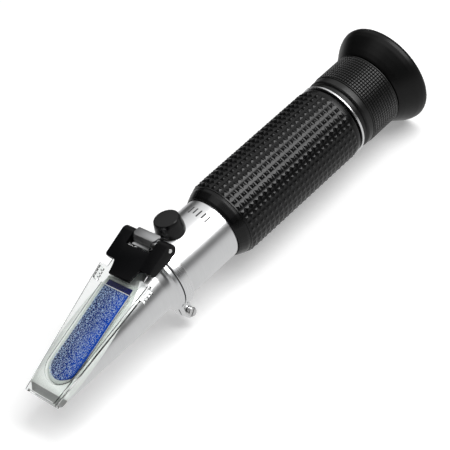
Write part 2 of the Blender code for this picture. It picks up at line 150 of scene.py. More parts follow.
def slab(name, outline, low, high, put, edge=0.0, steps=2):
    """A plate of that outline from height low to high, its two rims eased by an edge width."""
    levels = [(0, low), (0, high)]
    if edge > 0:
        leans = [math.pi / 2 * k / steps for k in range(steps + 1)]
        rim = [(edge * (1 - math.sin(lean)), edge * (1 - math.cos(lean))) for lean in leans]
        levels = [(i, low + h) for i, h in rim] + [(i, high - h) for i, h in reversed(rim)]
    points, faces, n = [], [], len(outline)
    for distance, height in levels:
        points += [(p[0], p[1], height) for p in inset(outline, distance)]
    for i in range(len(levels) - 1):
        for k in range(n):
            j = (k + 1) % n
            faces.append((i * n + k, i * n + j, i * n + n + j, i * n + n + k))
    faces.append(tuple(reversed(range(n))))
    faces.append(tuple(range(len(points) - n, len(points))))
    return solid(name, points, faces, put)


def settled(piece):
    """The piece with its modifiers worked into its mesh."""
    bpy.context.view_layer.update()
    worked = piece.evaluated_get(bpy.context.evaluated_depsgraph_get())
    mesh = bpy.data.meshes.new_from_object(worked)
    piece.modifiers.clear()
    piece.data = mesh
    return piece


def joined(piece, tool, how="DIFFERENCE"):
    """The piece cut by the tool, added to it, or kept where the two meet."""
    step = piece.modifiers.new("joined", "BOOLEAN")
    step.operation, step.solver, step.object = how, "EXACT", tool
    settled(piece)
    bpy.data.objects.remove(tool)
    return piece


def bored(piece, name, start, end, radius, put=on_axis, steps=96):
    """The piece with a straight round hole from start to end."""
    return joined(piece, turned(name, [(start, 0), (start, radius), (end, radius), (end, 0)], put, steps))


def eased(piece, width, angle, segments=2):
    """The piece with its sharp edges broken, by a width in millimetres."""
    step = piece.modifiers.new("eased", "BEVEL")
    step.width, step.segments = width * 0.001, segments
    step.limit_method, step.angle_limit = "ANGLE", math.radians(angle)
    step.use_clamp_overlap, step.harden_normals = True, False
    return settled(piece)


def finished(piece, body, nodes, coat, angle=32):
    """The piece smoothed, coated, riding on its body and standing for its CAD nodes."""
    piece.data.shade_smooth()
    piece.data.set_sharp_from_angle(angle=math.radians(angle))
    piece.data.materials.clear()
    piece.data.materials.append(coat)
    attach(piece, body)
    if nodes:
        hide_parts(*nodes)
    return piece


class Strand:
    """A value, colour or direction on its way through a finish's nodes."""

    def __init__(self, tree, socket=None):
        self.tree, self.socket = tree, socket

    def node(self, kind, settings=None, out=0, **values):
        """A node of that kind; _0 names an input by its number, and out=None ends the strand."""
        made = self.tree.nodes.new(kind)
        for name, value in (settings or {}).items():
            if name == "stops":
                ramp = made.color_ramp
                while len(ramp.elements) < len(value):
                    ramp.elements.new(0.5)
                for stop, (place, colour) in zip(ramp.elements, value):
                    stop.position = place
                    stop.color = colour if isinstance(colour, tuple) else (colour, colour, colour, 1)
            else:
                setattr(made, name, value)
        for name, value in values.items():
            key = int(name[1:]) if name[0] == "_" else name.replace("_", " ")
            if isinstance(value, Strand):
                self.tree.links.new(value.socket, made.inputs[key])
            else:
                made.inputs[key].default_value = value
        return None if out is None else Strand(self.tree, made.outputs[out])

    def maths(self, operation, a, b=0.0):
        return self.node("ShaderNodeMath", {"operation": operation}, _0=a, _1=b)

    def __add__(self, other):
        return self.maths("ADD", self, other)

    def __sub__(self, other):
        return self.maths("SUBTRACT", self, other)

    def __rsub__(self, other):
        return self.maths("SUBTRACT", other, self)

    def __mul__(self, other):
        return self.maths("MULTIPLY", self, other)

    def __gt__(self, other):
        return self.maths("GREATER_THAN", self, other)

    __radd__, __rmul__ = __add__, __mul__

    def place(self, stretch):
        """The point on the piece, in metres, stretched by that much a side."""
        point = self.node("ShaderNodeTexCoord", out="Object")
        return self.node("ShaderNodeVectorMath", {"operation": "MULTIPLY"}, _0=point, _1=stretch)

    def grain(self, stretch, detail=3.0):
        """Noise from 0 to 1, with that many grains a metre along x, y and z."""
        point = self.place(stretch)
        return self.node("ShaderNodeTexNoise", Vector=point, Scale=1.0, Detail=detail, Roughness=0.55)

    def ramp(self, value, *stops):
        """The value turned into the colours or greys of (place, colour) stops."""
        return self.node("ShaderNodeValToRGB", {"stops": stops}, Fac=value)

    def blend(self, share, a, b):
        """Colour a turning into colour b as share goes from 0 to 1."""
        return self.node("ShaderNodeMix", {"data_type": "RGBA"}, out=2, _0=share, _6=a, _7=b)

    def surface(self, height=None, depth=0.0, **values):
        """Ends the finish: a Principled shader of these values, with relief of that depth in millimetres."""
        if height is not None:
            values["Normal"] = self.node(
                "ShaderNodeBump", Height=height, Strength=0.6, Distance=depth * 0.001
            )
        shader = self.node("ShaderNodeBsdfPrincipled", **values)
        self.node("ShaderNodeOutputMaterial", out=None, Surface=shader)


def finish(name):
    """A new finish, and the strand that its nodes start from."""
    made = bpy.data.materials.new(name)
    made.use_nodes = True
    made.node_tree.nodes.clear()
    return made, Strand(made.node_tree)


def satin_metal(name, colour, roughness, lines=(5200, 90, 90), marks=0.05, metal=1.0):
    """Bright metal with the fine lines of its turning or grinding, and a faint cloudiness."""
    made, start = finish(name)
    fine = start.grain(lines, detail=4.0)
    cloud = start.grain((170, 170, 170), detail=2.0)
    in_line, in_cloud = (tuple(c * share for c in colour) + (1,) for share in (0.93, 0.86))
    tone = start.ramp(fine, (0.25, in_line), (0.75, colour + (1,)))
    start.surface(
        Base_Color=start.blend(start.ramp(cloud, (0.35, 0.0), (0.8, 0.22)), tone, in_cloud),
        Metallic=metal,
        Roughness=fine * marks + cloud * 0.08 + (roughness - 0.065),
        height=fine,
        depth=0.004,
    )
    return made


satin_chrome = satin_metal("satin_chrome", (0.80, 0.805, 0.81), 0.31)
GRINDING = (260, 4200, 260)
ground_face = satin_metal("ground_face", (0.86, 0.89, 0.86), 0.5, GRINDING, marks=0.1, metal=0.25)
# A darker grey for the sloped step at the nose: painted shade, for the shade that falls on that face.
shadow_step = satin_metal("shadow_step", (0.42, 0.425, 0.42), 0.42, GRINDING, marks=0.08, metal=0.3)

head = turned(
    "prism_head_turned",
    [(-79, 0), (-79, 9.0), (-78.5, 9.93, 0.4), (-31.6, 9.93, 2.5), (-29.2, 10.5, 2.0), (-28.55, 12.1, 0.12),
     (-27.2, 12.1, 0.15), (-27.2, 9.4), (-20, 9.4), (-20, 7.6), (-33, 7.6), (-33, 0)],
    steps=192,
)
over_face = [(-30, -1.8), (-21.2, -1.8), (-18.7, -0.5), (30, -0.5), (47, 25), (-30, 25)]
joined(head, slab("face_cut", over_face, -20, 20, along_slope))


def round_nosed(middle, reach, half, rear, steps):
    """An outline on the slope, half round at its nose and square at its rear."""
    line = []
    for k in range(steps + 1):
        turn = math.pi / 2 + math.pi * k / steps
        line.append(Vector((middle + reach * math.cos(turn), half * math.sin(turn))))
    return line + [Vector((rear, -half)), Vector((rear, half))]


def prism_outline(grow):
    """The prism from above, grown all round."""
    return round_nosed(-9.1, 5.5 + grow, 5.5 + grow, 20.4 + grow, 24)


joined(head, slab("pocket_cut", prism_outline(1.1), -4.6, 4, on_slope))
bored(head, "light_way", -50, -30, 4.2)
eased(head, 0.14, angle=40)
finished(head, "barrel", ["prism_head"], satin_chrome, angle=28)

# Faces that look straight out of the ground face take the ground finish; the sloped faces at the nose take
# the darker grey, a painted shade.
out_of_face = (on_slope(0, 0, 1) - on_slope(0, 0, 0)).normalized()
nose_end = on_slope(-18, 0, 0).x
head.data.materials.append(ground_face)
head.data.materials.append(shadow_step)
for side in head.data.polygons:
    facing = side.normal.dot(out_of_face)
    if facing > 0.999:
        side.material_index = 1
    elif facing > 0.8 and side.center.x < nose_end and side.normal.x < -0.3:
        side.material_index = 2

# ---------------------------------------------------------------- the prism and its seal
# A small block of optical glass cemented into the head, its top face level with the
# ground face. It looks deep blue from outside. The pale cement fills the gap round it.

prism_glass, start = finish("prism_glass")
along, aside = (start.node("ShaderNodeSeparateXYZ", out=name, Vector=start.place((1, 1, 1))) for name in "XY")
# The blue is painted lighter towards the near side of the prism (negative y) and darker towards the far side:
# painted shade over the glass's own blue, with random grain.
blue_with_painted_shade = start.ramp(
    aside * -90.0 + 0.5 + (start.grain((90, 90, 90)) - 0.5) * 0.35,
    (0.05, (0.003, 0.005, 0.045, 1)), (0.5, (0.004, 0.018, 0.15, 1)), (0.95, (0.005, 0.06, 0.42, 1)),
)
behind_pad = along > on_slope(18.25, 0, 0).x
start.surface(
    Base_Color=start.blend(behind_pad, blue_with_painted_shade, (0.002, 0.005, 0.07, 1)),
    Roughness=start.grain((900, 900, 900)) * 0.06 + 0.07,
    IOR=1.52,
    Specular_IOR_Level=0.25,
)
prism = slab("measuring_prism", prism_outline(0), -4.2, 0, on_slope, edge=0.25)
finished(prism, "barrel", ["main_prism"], prism_glass)

cement, start = finish("pale_cement")
fleck = start.grain((2600, 2600, 2600))
start.surface(
    Base_Color=start.ramp(fleck, (0.3, (0.42, 0.46, 0.43, 1)), (0.7, (0.60, 0.64, 0.60, 1))),
    Roughness=fleck * 0.2 + 0.45, height=fleck, depth=0.03,
)
seal = slab("prism_cement", prism_outline(1.08), -2.4, -0.16, on_slope, edge=0.05)
joined(seal, slab("seal_cut", prism_outline(0.02), -5, 2, on_slope))
finished(seal, "barrel", ["prism_seal"], cement)

# ---------------------------------------------------------------- the clamp ring
# A split ring that draws the head's flange and the barrel together. Its top lug
# carries the cover's hinge pin, and a slotted steel screw closes the lug below.

PIN_X, PIN_Z = -25.207, 13.901

bright_chrome = satin_metal("bright_chrome", (0.82, 0.825, 0.83), 0.27)
ring = turned(
    "clamp_ring_turned",
    [(-26.9, 11.46), (-26.9, 12.45, 0.3), (-23.2, 12.45, 0.3), (-23.2, 11.46)],
    steps=192,
)


def arc(x, y, radius, turns):
    """Points round a centre, one at each of these turns in degrees."""
    return [(x + radius * math.cos(math.radians(t)), y + radius * math.sin(math.radians(t))) for t in turns]


def across(x, y, z):
    """For a slab that stands in the tube's upright plane and is thick across it."""
    return on_axis(x, z, y)


lug_outline = arc(PIN_X, PIN_Z, 1.9, range(-20, 61, 8))
lug_outline += [(PIN_X + 0.9, PIN_Z + 1.65), (PIN_X - 0.9, PIN_Z + 1.65)]
lug_outline += arc(PIN_X, PIN_Z, 1.9, range(120, 201, 8))
lug_outline += [(PIN_X - 1.5, 9.0), (PIN_X + 1.82, 9.0)]
lug = slab("top_lug", lug_outline, -5.3, 5.3, across, edge=0.25)
bored(lug, "lug_bore", -40, -10, 11.8, steps=192)
joined(ring, lug, "UNION")


def along_pin(a, y, z):
    """For turning about the hinge pin, which lies across the tube."""
    return on_axis(PIN_X + y, a, PIN_Z + z)


def round_tube(x, y, z):
    """A point turned ten degrees round the tube, to where the ring is split."""
    lean = math.radians(10)
    return on_axis(x, y * math.cos(lean) + z * math.sin(lean), z * math.cos(lean) - y * math.sin(lean))


def low_across(x, z, y):
    """For a slab of the low lug, which is thick across the tube."""
    return round_tube(x, y, z)


def along_clamp(a, y, z):
    """For turning about the clamp screw, which crosses the low lug."""
    return round_tube(-24.9 + y, a, -14.7 + z)


low_outline = rounded([(-26.53, -9), (-26.53, -17.0), (-23.37, -17.0), (-23.37, -9)], [0, 1.25, 1.25, 0], 8)
low_lug = slab("low_lug", low_outline, -4.4, 2.0, low_across, edge=0.35, steps=3)
bored(low_lug, "lug_bore", -40, -10, 11.8, steps=192)
joined(ring, low_lug, "UNION")
joined(ring, slab("lug_slot", [(-30, -20), (-20, -20), (-20, -11.2), (-30, -11.2)], -1.5, -0.9, low_across))
bored(ring, "pin_bore", -9, 9, 0.85, along_pin, 48)
bored(ring, "screw_bore", -9, 9, 1.3, along_clamp, 48)
finished(ring, "barrel", ["clamp_ring"], bright_chrome, angle=28)

polished_steel = satin_metal("polished_steel", (0.70, 0.70, 0.70), 0.24, lines=(3000, 3000, 3000))
clamp = turned(
    "clamp_screw_slotted",
    [(-6.1, 0), (-6.1, 1.6, 0.35), (-4.7, 1.6, 0.1), (-4.7, 1.0), (1.7, 1.0, 0.3), (1.7, 0)],
    along_clamp, 96,
)
joined(clamp, slab("driver_slot", [(-3, -0.25), (3, -0.25), (3, 0.25), (-3, 0.25)], -7, -5.5,
                   lambda a, b, y: along_clamp(y, a * 0.8 - b * 0.6, a * 0.6 + b * 0.8)))
finished(clamp, "barrel", ["clamp_screw"], polished_steel)

pin_line = [(-10.6, 0), (-10.6, 0.75, 0.2), (10.6, 0.75, 0.2), (10.6, 0)]
pin = turned("hinge_pin_turned", pin_line, along_pin, 64)
finished(pin, "barrel", ["hinge_pin"], polished_steel)

# ---------------------------------------------------------------- the hinge spring
# A leaf of spring steel bent over the lug and held by the pin. Its lip presses on the
# bracket, so that the cover stays where it is put.

spring_steel = satin_metal("spring_steel", (0.50, 0.505, 0.51), 0.34, lines=(240, 5200, 240), marks=0.1)
tab = rounded([(-1.3, -5.1), (2.0, -5.1), (2.0, 5.1), (-1.3, 5.1)], [1.5, 0.4, 0.4, 1.5], 8)
spring = slab("hinge_spring_bent", tab, 1.95, 2.55,
              lambda x, y, z: on_axis(PIN_X + x, y, PIN_Z + z), edge=0.14)
leaf_line = rounded(
    [(-0.6, 2.45), (-0.6, 2.05), (-1.75, 1.2), (-2.05, 0.35), (-3.45, 0.35), (-3.45, 0.0), (-2.35, 0.0),
     (-2.3, 1.3), (-1.2, 2.45)],
    [0, 0, 0.4, 0, 0.1, 0.1, 0.3, 0.5, 0.4], 4,
)
leaf = slab("leaf", [(PIN_X + p[0], PIN_Z + p[1]) for p in leaf_line], -3.9, 3.9, across, edge=0.05)
joined(spring, leaf, "UNION")
finished(spring, "barrel", ["hinge_spring"], spring_steel, angle=40)

# ---------------------------------------------------------------- the barrel
# The main tube: brass, turned in one piece with a shoulder under the clamp ring, and
# satin chromed. Five short index marks are engraved beside the calibration screw.

barrel = turned(
    "barrel_tube_turned",
    [(-26.6, 9.7), (-26.6, 11.16, 0.2), (-1.6, 11.16, 0.1), (-1.6, 10.9), (59.4, 10.9), (59.4, 9.7)],
    steps=192,
)
CAP_X = -16.1


def upright(a, x, y):
    """For turning about the calibration screw, which stands on the tube."""
    return on_axis(CAP_X + x, y, a)


def index_cut(number):
    """The cutter of one index mark; every second mark is shorter."""
    tilt = math.radians(-4 + 9 * number)
    front = -7.4 + 0.5 * (number % 2)
    outline = rounded([(front, -0.28), (-4.4, -0.28), (-4.4, 0.28), (front, 0.28)], 0.25, 4)

    def tilted(x, y, z):
        return on_axis(x, y * math.cos(tilt) - z * math.sin(tilt), y * math.sin(tilt) + z * math.cos(tilt))

    return slab("index_cut", outline, 11.02, 12.5, tilted)


bored(barrel, "screw_hole", 5, 14, 2.2, upright, 64)
for number in range(5):
    joined(barrel, index_cut(number))
finished(barrel, "barrel", ["barrel_tube"], satin_chrome, angle=28)
mark_fill, start = finish("mark_fill")
soot = start.grain((3000, 3000, 3000))
start.surface(Base_Color=start.ramp(soot, (0.3, 0.015), (0.8, 0.05)), Roughness=soot * 0.3 + 0.5)
barrel.data.materials.append(mark_fill)
for side in barrel.data.polygons:
    place = side.center - on_axis(-6, 0, 0)
    outwards = Vector((0, place.y, place.z))
    in_mark = abs(place.x) < 0.0017 and 0.01095 < outwards.length < 0.0111
    if in_mark and side.normal.dot(outwards.normalized()) > 0.9:
        side.material_index = 1

# ---------------------------------------------------------------- the calibration screw
# A brass screw in a chromed boss. It shifts the objective cell to set zero, and a
# push-on rubber cap keeps it covered.

boss = turned(
    "calibration_boss_turned",
    [(8.6, 2.2), (8.6, 4.35), (11.45, 4.35, 0.2), (11.45, 3.1, 0.1), (13.0, 3.1, 0.2), (13.0, 2.2)],
    upright, 128,
)
bored(boss, "boss_seat", -40, 40, 11.17, steps=192)
finished(boss, "barrel", ["calibration_boss"], satin_chrome)

warm_brass = satin_metal("warm_brass", (0.78, 0.58, 0.30), 0.3, lines=(2600, 2600, 2600))
screw_line = [(8.3, 0), (8.3, 1.6, 0.2), (13.6, 1.6, 0.25), (13.6, 0)]
screw = turned("calibration_screw_slotted", screw_line, upright, 96)
joined(screw, slab("screw_slot", [(-3, -0.28), (3, -0.28), (3, 0.28), (-3, 0.28)], 12.7, 15,
                   lambda x, y, z: on_axis(CAP_X + x, y, z)))
finished(screw, "adjuster", ["calibration_screw"], warm_brass)


def moulded(name, colour, roughness, gloss, relief, grains=2200):
    """Moulded rubber or plastic: near black, with a fine grain and a little bloom."""
    made, start = finish(name)
    grit = start.grain((grains, grains, grains), detail=4.0)
    bloom = start.grain((130, 130, 130), detail=2.0)
    dark, light = (tuple(c * share for c in colour) + (1,) for share in (0.75, 1.35))
    start.surface(
        Base_Color=start.ramp(grit * 0.4 + bloom * 0.6, (0.3, dark), (0.7, light)),
        Roughness=bloom * 0.12 + grit * 0.1 + (roughness - 0.11),
        Specular_IOR_Level=gloss,
        height=grit,
        depth=relief,
    )
    return made


cap_rubber = moulded("cap_rubber", (0.002, 0.002, 0.0022), 0.24, gloss=0.3, relief=0.01)
cap = turned(
    "calibration_cap_moulded",
    [(10, 4.5), (10, 4.82), (12.3, 4.86, 0.8), (14.9, 4.5, 0.8), (16.1, 4.2, 0.4), (16.1, 0),
     (14.6, 0), (14.6, 3.4), (11.75, 3.4), (11.75, 4.5)],
    upright, 128,
)
bored(cap, "cap_saddle", -40, 40, 11.3, steps=192)
finished(cap, "cap", ["calibration_cap"], cap_rubber, angle=40)

# ---------------------------------------------------------------- inside the tube
# The objective in its cell, the bimetal strip that moves it with the temperature, a
# blackened stop and the glass scale between its two rings. None shows from outside.

dull_black = moulded("dull_black", (0.008, 0.008, 0.008), 0.62, gloss=0.3, relief=0.02)
lens_glass, start = finish("lens_glass")
smear = start.grain((240, 240, 240))
start.surface(
    Base_Color=start.ramp(smear, (0.2, (0.93, 0.97, 0.96, 1)), (0.8, (0.97, 0.99, 1.0, 1))),
    Roughness=smear * 0.03 + 0.01, Transmission_Weight=1.0, IOR=1.52,
)
two_metals = satin_metal("two_metals", (0.66, 0.56, 0.44), 0.38)
carried = {
    "lens_cell": dull_black, "objective_lens": lens_glass, "objective_retainer": dull_black,
    "bimetal_strip": two_metals, "field_stop": dull_black, "reticle_seat": dull_black,
    "reticle_glass": lens_glass, "reticle_retainer": dull_black, "focus_friction_ring": dull_black,
    "field_lens": lens_glass, "lens_spacer": dull_black,
}
for node, coat in carried.items():
    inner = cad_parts[node]
    inner.data.materials.clear()
    inner.data.materials.append(coat)
    for side in inner.data.polygons:
        side.material_index = 0

# ---------------------------------------------------------------- the hinge bracket
# A black moulding that turns on the pin and holds the daylight plate by its tongue.
# Its two cheeks stand either side of the lug, with the spring in the notch between.

PIN_U, PIN_W = 36.26, 1.34
satin_black = moulded(
    "satin_black_moulding", (0.0025, 0.0025, 0.003), 0.36, gloss=0.16, relief=0.012, grains=1800
)
flank = rounded([(21.4, 2.2), (21.4, 2.9), (22.3, 3.5)], [0, 0.2, 0.6], 4)
flank += [Vector(p) for p in arc(PIN_U, PIN_W, 2.16, range(90, -101, -10))]
flank += [Vector(p) for p in ((33.66, -0.75), (27, 0.6), (26.4, 1.0), (26.4, 2.2))]
bracket = slab("hinge_bracket_moulded", flank, -12, 12, along_slope)
plan = rounded(
    [(20.0, -4.4), (24.6, -5.3), (26.3, -5.9), (26.3, -10.6), (40, -10.6), (40, 10.6), (26.3, 10.6),
     (26.3, 5.9), (24.6, 5.3), (20.0, 4.4)],
    [0, 0, 0.3, 0.9, 0, 0, 0.9, 0.3, 0, 0], 5,
)
joined(bracket, slab("bracket_plan", plan, -6, 8, on_slope), "INTERSECT")
hollow = [(26.9, -8.9), (33.36, -8.9), (33.36, 8.9), (26.9, 8.9)]
joined(bracket, slab("underside", hollow, -5, 2.21, on_slope))
notch = rounded([(32.31, -5.65), (45, -5.65), (45, 5.65), (32.31, 5.65)], [0.35, 0, 0, 0.35], 4)
joined(bracket, slab("notch", notch, -6, 8, on_slope))
bored(bracket, "bracket_bore", -20, 20, 0.85, along_pin, 48)
eased(bracket, 0.3, angle=38, segments=3)
finished(bracket, "cover", ["hinge_bracket"], satin_black, angle=34)

# ---------------------------------------------------------------- the daylight plate
# Cast clear acrylic, milled to a taper with polished edges: a main plate, a raised
# step on it, a lip at the nose and two blocks by the hinge. The pad under it is
# frosted, and spreads the sample over the prism.

clear_acrylic, start = finish("clear_acrylic")
haze = start.grain((160, 160, 160))
hair = start.grain((300, 5200, 300), detail=2.0)
start.surface(
    Base_Color=start.ramp(haze, (0.2, (0.955, 0.975, 0.965, 1)), (0.8, (0.985, 0.995, 0.99, 1))),
    Roughness=start.ramp(hair, (0.62, 0.012), (0.8, 0.06)),
    Transmission_Weight=1.0,
    IOR=1.49,
)


NOSE, NOSE_HALF = -22.2, 7.4
REAR, REAR_HALF = 23.8, 12.25


def half_width(u):
    """Half the plate's width at u: it tapers to its nose."""
    return NOSE_HALF + (u - NOSE) * (REAR_HALF - NOSE_HALF) / (REAR - NOSE)


def plate_outline(tip, rear, inward, tail=None):
    """The plate's outline from tip to rear, this far inside its tapered edges."""
    side = [(tip, half_width(tip) - inward), (rear, half_width(rear) - inward)]
    if tail:
        side += [(rear, tail[1]), (tail[0], tail[1])]
    corners = [(u, -v) for u, v in side] + [(u, v) for u, v in reversed(side)]
    n = len(side)
    radii = [0.5] + [0.4] * (n - 1)
    return rounded(corners, radii + list(reversed(radii)), 4)


outline = plate_outline(NOSE, REAR, 0, tail=(31.5, 8.4))
plate = slab("daylight_plate_milled", outline, 0.8, 1.55, on_slope, edge=0.15, steps=3)
outline = plate_outline(NOSE + 0.5, REAR - 0.5, 0.75)
joined(plate, slab("step", outline, 1.3, 1.9, on_slope, edge=0.2, steps=3), "UNION")
lip = [(-22.15, -6.7), (-21.3, -6.6), (-21.3, 6.6), (-22.15, 6.7)]
joined(plate, slab("nose_lip", rounded(lip, 0.2, 3), -1.1, 1.2, on_slope, edge=0.08), "UNION")
for way in (-1, 1):
    corners = ((18.4, 0.1), (22.9, 0.1), (22.9, 1.45), (18.4, 1.45))
    ear = [(u, way * (half_width(u) - inward)) for u, inward in corners]
    joined(plate, slab("ear", rounded(ear, 0.25, 3), -1.5, 1.1, on_slope, edge=0.08), "UNION")
    for u in (19.3, 20.5, 21.7):
        groove = [(u, way * 9.5), (u + 0.35, way * 9.5), (u + 0.35, way * 14), (u, way * 14)]
        joined(plate, slab("ear_groove", groove, -2.0, -0.7, on_slope))
pad_outline = round_nosed(-10.0, 6.5, 6.9, 18.3, 20)
joined(plate, slab("pad", pad_outline, 0.3, 1.0, on_slope, edge=0.05), "UNION")
finished(plate, "cover", ["daylight_plate"], clear_acrylic, angle=25)
plate.visible_shadow = False

frosted, start = finish("frosted_film")
speck = start.grain((2400, 2400, 2400), detail=1.0)
start.surface(
    Base_Color=start.ramp(speck, (0.4, (0.30, 0.48, 0.90, 1)), (0.8, (0.62, 0.78, 1.0, 1))),
    Roughness=speck * 0.2 + 0.4,
    Alpha=start.ramp(speck, (0.49, 0.0), (0.60, 0.30), (0.74, 0.62)),
)
film = slab("frosted_contact_film", round_nosed(-10.0, 5.0, 5.5, 18.1, 20), 0.2, 0.28, on_slope, edge=0.02)
finished(film, "cover", [], frosted)

milled_edge, start = finish("milled_edge")
chatter = start.grain((600, 2600, 600))
start.surface(
    Base_Color=start.ramp(chatter, (0.3, 0.78), (0.7, 0.92)), Roughness=chatter * 0.2 + 0.35,
    Alpha=start.ramp(chatter, (0.2, 0.75), (0.6, 0.98)),
)
pad_edge = [(18.1, -6.2), (18.42, -6.2), (18.42, 6.2), (18.1, 6.2)]
bevel = slab("frosted_pad_edge", pad_edge, 0.2, 0.32, on_slope, edge=0.03)
finished(bevel, "cover", [], milled_edge)


def plate_screw(node):
    """A slotted screw that holds the plate's tongue from below, on the side where its CAD node is."""
    low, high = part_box(node)
    side = math.copysign(4.6, low.y + high.y)
    made = turned(
        node + "_slotted",
        [(-0.25, 0), (-0.25, 1.5, 0.25), (0.5, 1.5, 0.1), (0.5, 0.85), (1.95, 0.85, 0.1), (1.95, 0)],
        lambda a, x, z: on_slope(28.6 + x, side + z, a), 64,
    )
    joined(made, slab("slot", [(-3, -0.2), (3, -0.2), (3, 0.2), (-3, 0.2)], -1, 0.0,
                      lambda x, z, a: on_slope(28.6 + x, side + z, a)))
    finished(made, "cover", [node], polished_steel)


plate_screw("plate_screw_left")
plate_screw("plate_screw_right")

# ---------------------------------------------------------------- the grip
# A moulded rubber sleeve stretched over the barrel. Between its smooth ends it is
# chequered: narrow flat channels cross, with a low four-sided pyramid in each square.

PITCH, COLUMNS, ROWS = 2.19, 38, 24
CHEQUER_FRONT = 3.05
CHEQUER_BACK = CHEQUER_FRONT + ROWS * PITCH
CHANNEL, CREST, RISE = 0.19, 0.14, 0.38
CREST_R = 13.77
FIRST_CHANNEL = math.radians(-43.4)
grip_rubber = moulded("grip_rubber", (0.002, 0.002, 0.0022), 0.27, gloss=0.3, relief=0.015, grains=1900)


class Skin:
    """The closed skin of a round piece, laid ring by ring, with low studs on it."""

    def __init__(self):
        self.points, self.faces = [], []

    def ring(self, x, radius, turns):
        """One ring of points at x, one at each of these turns."""
        start = len(self.points)
        self.points += [(x, radius * math.cos(turn), radius * math.sin(turn)) for turn in turns]
        return range(start, start + len(turns))

    def band(self, low, high, every=1):
        """The faces from one ring to the next, or only every second one of them."""
        for k in range(0, len(low), every):
            j = (k + 1) % len(low)
            self.faces.append((low[k], low[j], high[j], high[k]))

    def stud(self, foot, x, turn, half, spread, radius):
        """A low pyramid with a flat crown, on the four points of its foot."""
        crown = len(self.points)
        for back, aside in ((-1, -1), (-1, 1), (1, 1), (1, -1)):
            lean = turn + aside * spread
            self.points.append((x + back * half, radius * math.cos(lean), radius * math.sin(lean)))
        for k in range(4):
            j = (k + 1) % 4
            self.faces.append((foot[k], foot[j], crown + j, crown + k))
        self.faces.append(tuple(range(crown, crown + 4)))


def channel_radius(x):
    """The radius at the bottom of the channels, a little less in the first rows."""
    return CREST_R - RISE - 0.17 * max(0.0, 1 - (x - CHEQUER_FRONT) / 5.0) ** 2


front = rounded(
    [(-1.2, 11.25), (-1.2, 11.5), (-0.4, 12.0), (1.6, 12.85), (2.74, 12.95), (2.8, 13.22),
     (CHEQUER_FRONT, 13.2)],
    [0, 0.15, 1.2, 2.0, 0.03, 0.06, 0], 5,
)
back = rounded([(CHEQUER_BACK, 13.37), (56.0, 13.5), (57.3, 13.4), (58.0, 12.6), (58.0, 11.25)],
               [0, 0.3, 0.9, 0.2, 0], 5)
channel_sides = [FIRST_CHANNEL + 2 * math.pi * k / COLUMNS + edge * CHANNEL / CREST_R
                 for k in range(COLUMNS) for edge in (-1, 1)]
sleeve = Skin()
rings = [sleeve.ring(x, radius, channel_sides) for x, radius in front[:-1]]
chequer_start = len(rings)
for row in range(ROWS + 1):
    for edge in (-1, 1):
        if (row, edge) not in ((0, -1), (ROWS, 1)):
            x = CHEQUER_FRONT + row * PITCH + edge * CHANNEL
            rings.append(sleeve.ring(x, channel_radius(x), channel_sides))
for row in range(ROWS):
    low, high = rings[chequer_start + 2 * row], rings[chequer_start + 2 * row + 1]
    middle = CHEQUER_FRONT + (row + 0.5) * PITCH
    for k in range(COLUMNS):
        a, b = 2 * k + 1, (2 * k + 2) % len(low)
        turn = FIRST_CHANNEL + 2 * math.pi * (k + 0.5) / COLUMNS
        foot = (low[a], low[b], high[b], high[a])
        sleeve.stud(foot, middle, turn, CREST, CREST / CREST_R, channel_radius(middle) + RISE)
rings += [sleeve.ring(x, radius, channel_sides) for x, radius in back[1:]]
for low, high in zip(rings, rings[1:] + rings[:1]):
    start, end = sleeve.points[low[0]][0], sleeve.points[high[0]][0]
    studded = CHEQUER_FRONT < start and end < CHEQUER_BACK and end - start > PITCH / 2
    sleeve.band(low, high, every=2 if studded else 1)
grip = solid("grip_sleeve_chequered", sleeve.points, sleeve.faces, on_axis)
finished(grip, "barrel", ["grip_sleeve"], grip_rubber, angle=24)

end_ring = turned(
    "grip_end_ring_turned",
    [(58.35, 11.25), (58.35, 13.6, 0.25), (59.2, 13.6, 0.25), (59.2, 11.25)], steps=192,
)
finished(end_ring, "barrel", ["grip_end_ring"], bright_chrome)

# ---------------------------------------------------------------- the eyepiece
# A black anodised tube that screws in the barrel to focus. Its collar is smooth in
# front and cut with a fine square knurl behind, and it holds two lenses.

anodised, start = finish("black_anodised")
wear = start.grain((2400, 240, 240), detail=4.0)
start.surface(
    Base_Color=start.ramp(wear, (0.3, 0.004), (0.75, 0.010)),
    Metallic=0.25,
    Roughness=wear * 0.14 + 0.3,
    height=wear,
    depth=0.006,
)
anodised_tube = turned(
    "eyepiece_tube_turned",
    [(44, 8.3), (44, 9.1, 0.2), (44.4, 9.4), (59.8, 9.4), (59.8, 12.4, 0.2), (61.2, 12.6, 0.15),
     (61.5, 13.3, 0.2), (61.9, 13.55, 0.2), (64.0, 13.55, 0.12), (64.15, 13.35), (76.85, 13.35),
     (77.3, 13.3), (77.3, 12.0), (80, 12.0), (80, 10.6), (68, 10.6), (68, 8.3)],
    steps=192,
)
finished(anodised_tube, "eyepiece", ["eyepiece_tube"], anodised)

KNURL, RUNS, TEETH = 1.06, 11, 84
KNURL_FRONT, KNURL_R = 64.75, 13.8
CROWN, CUT = 0.33, 0.30

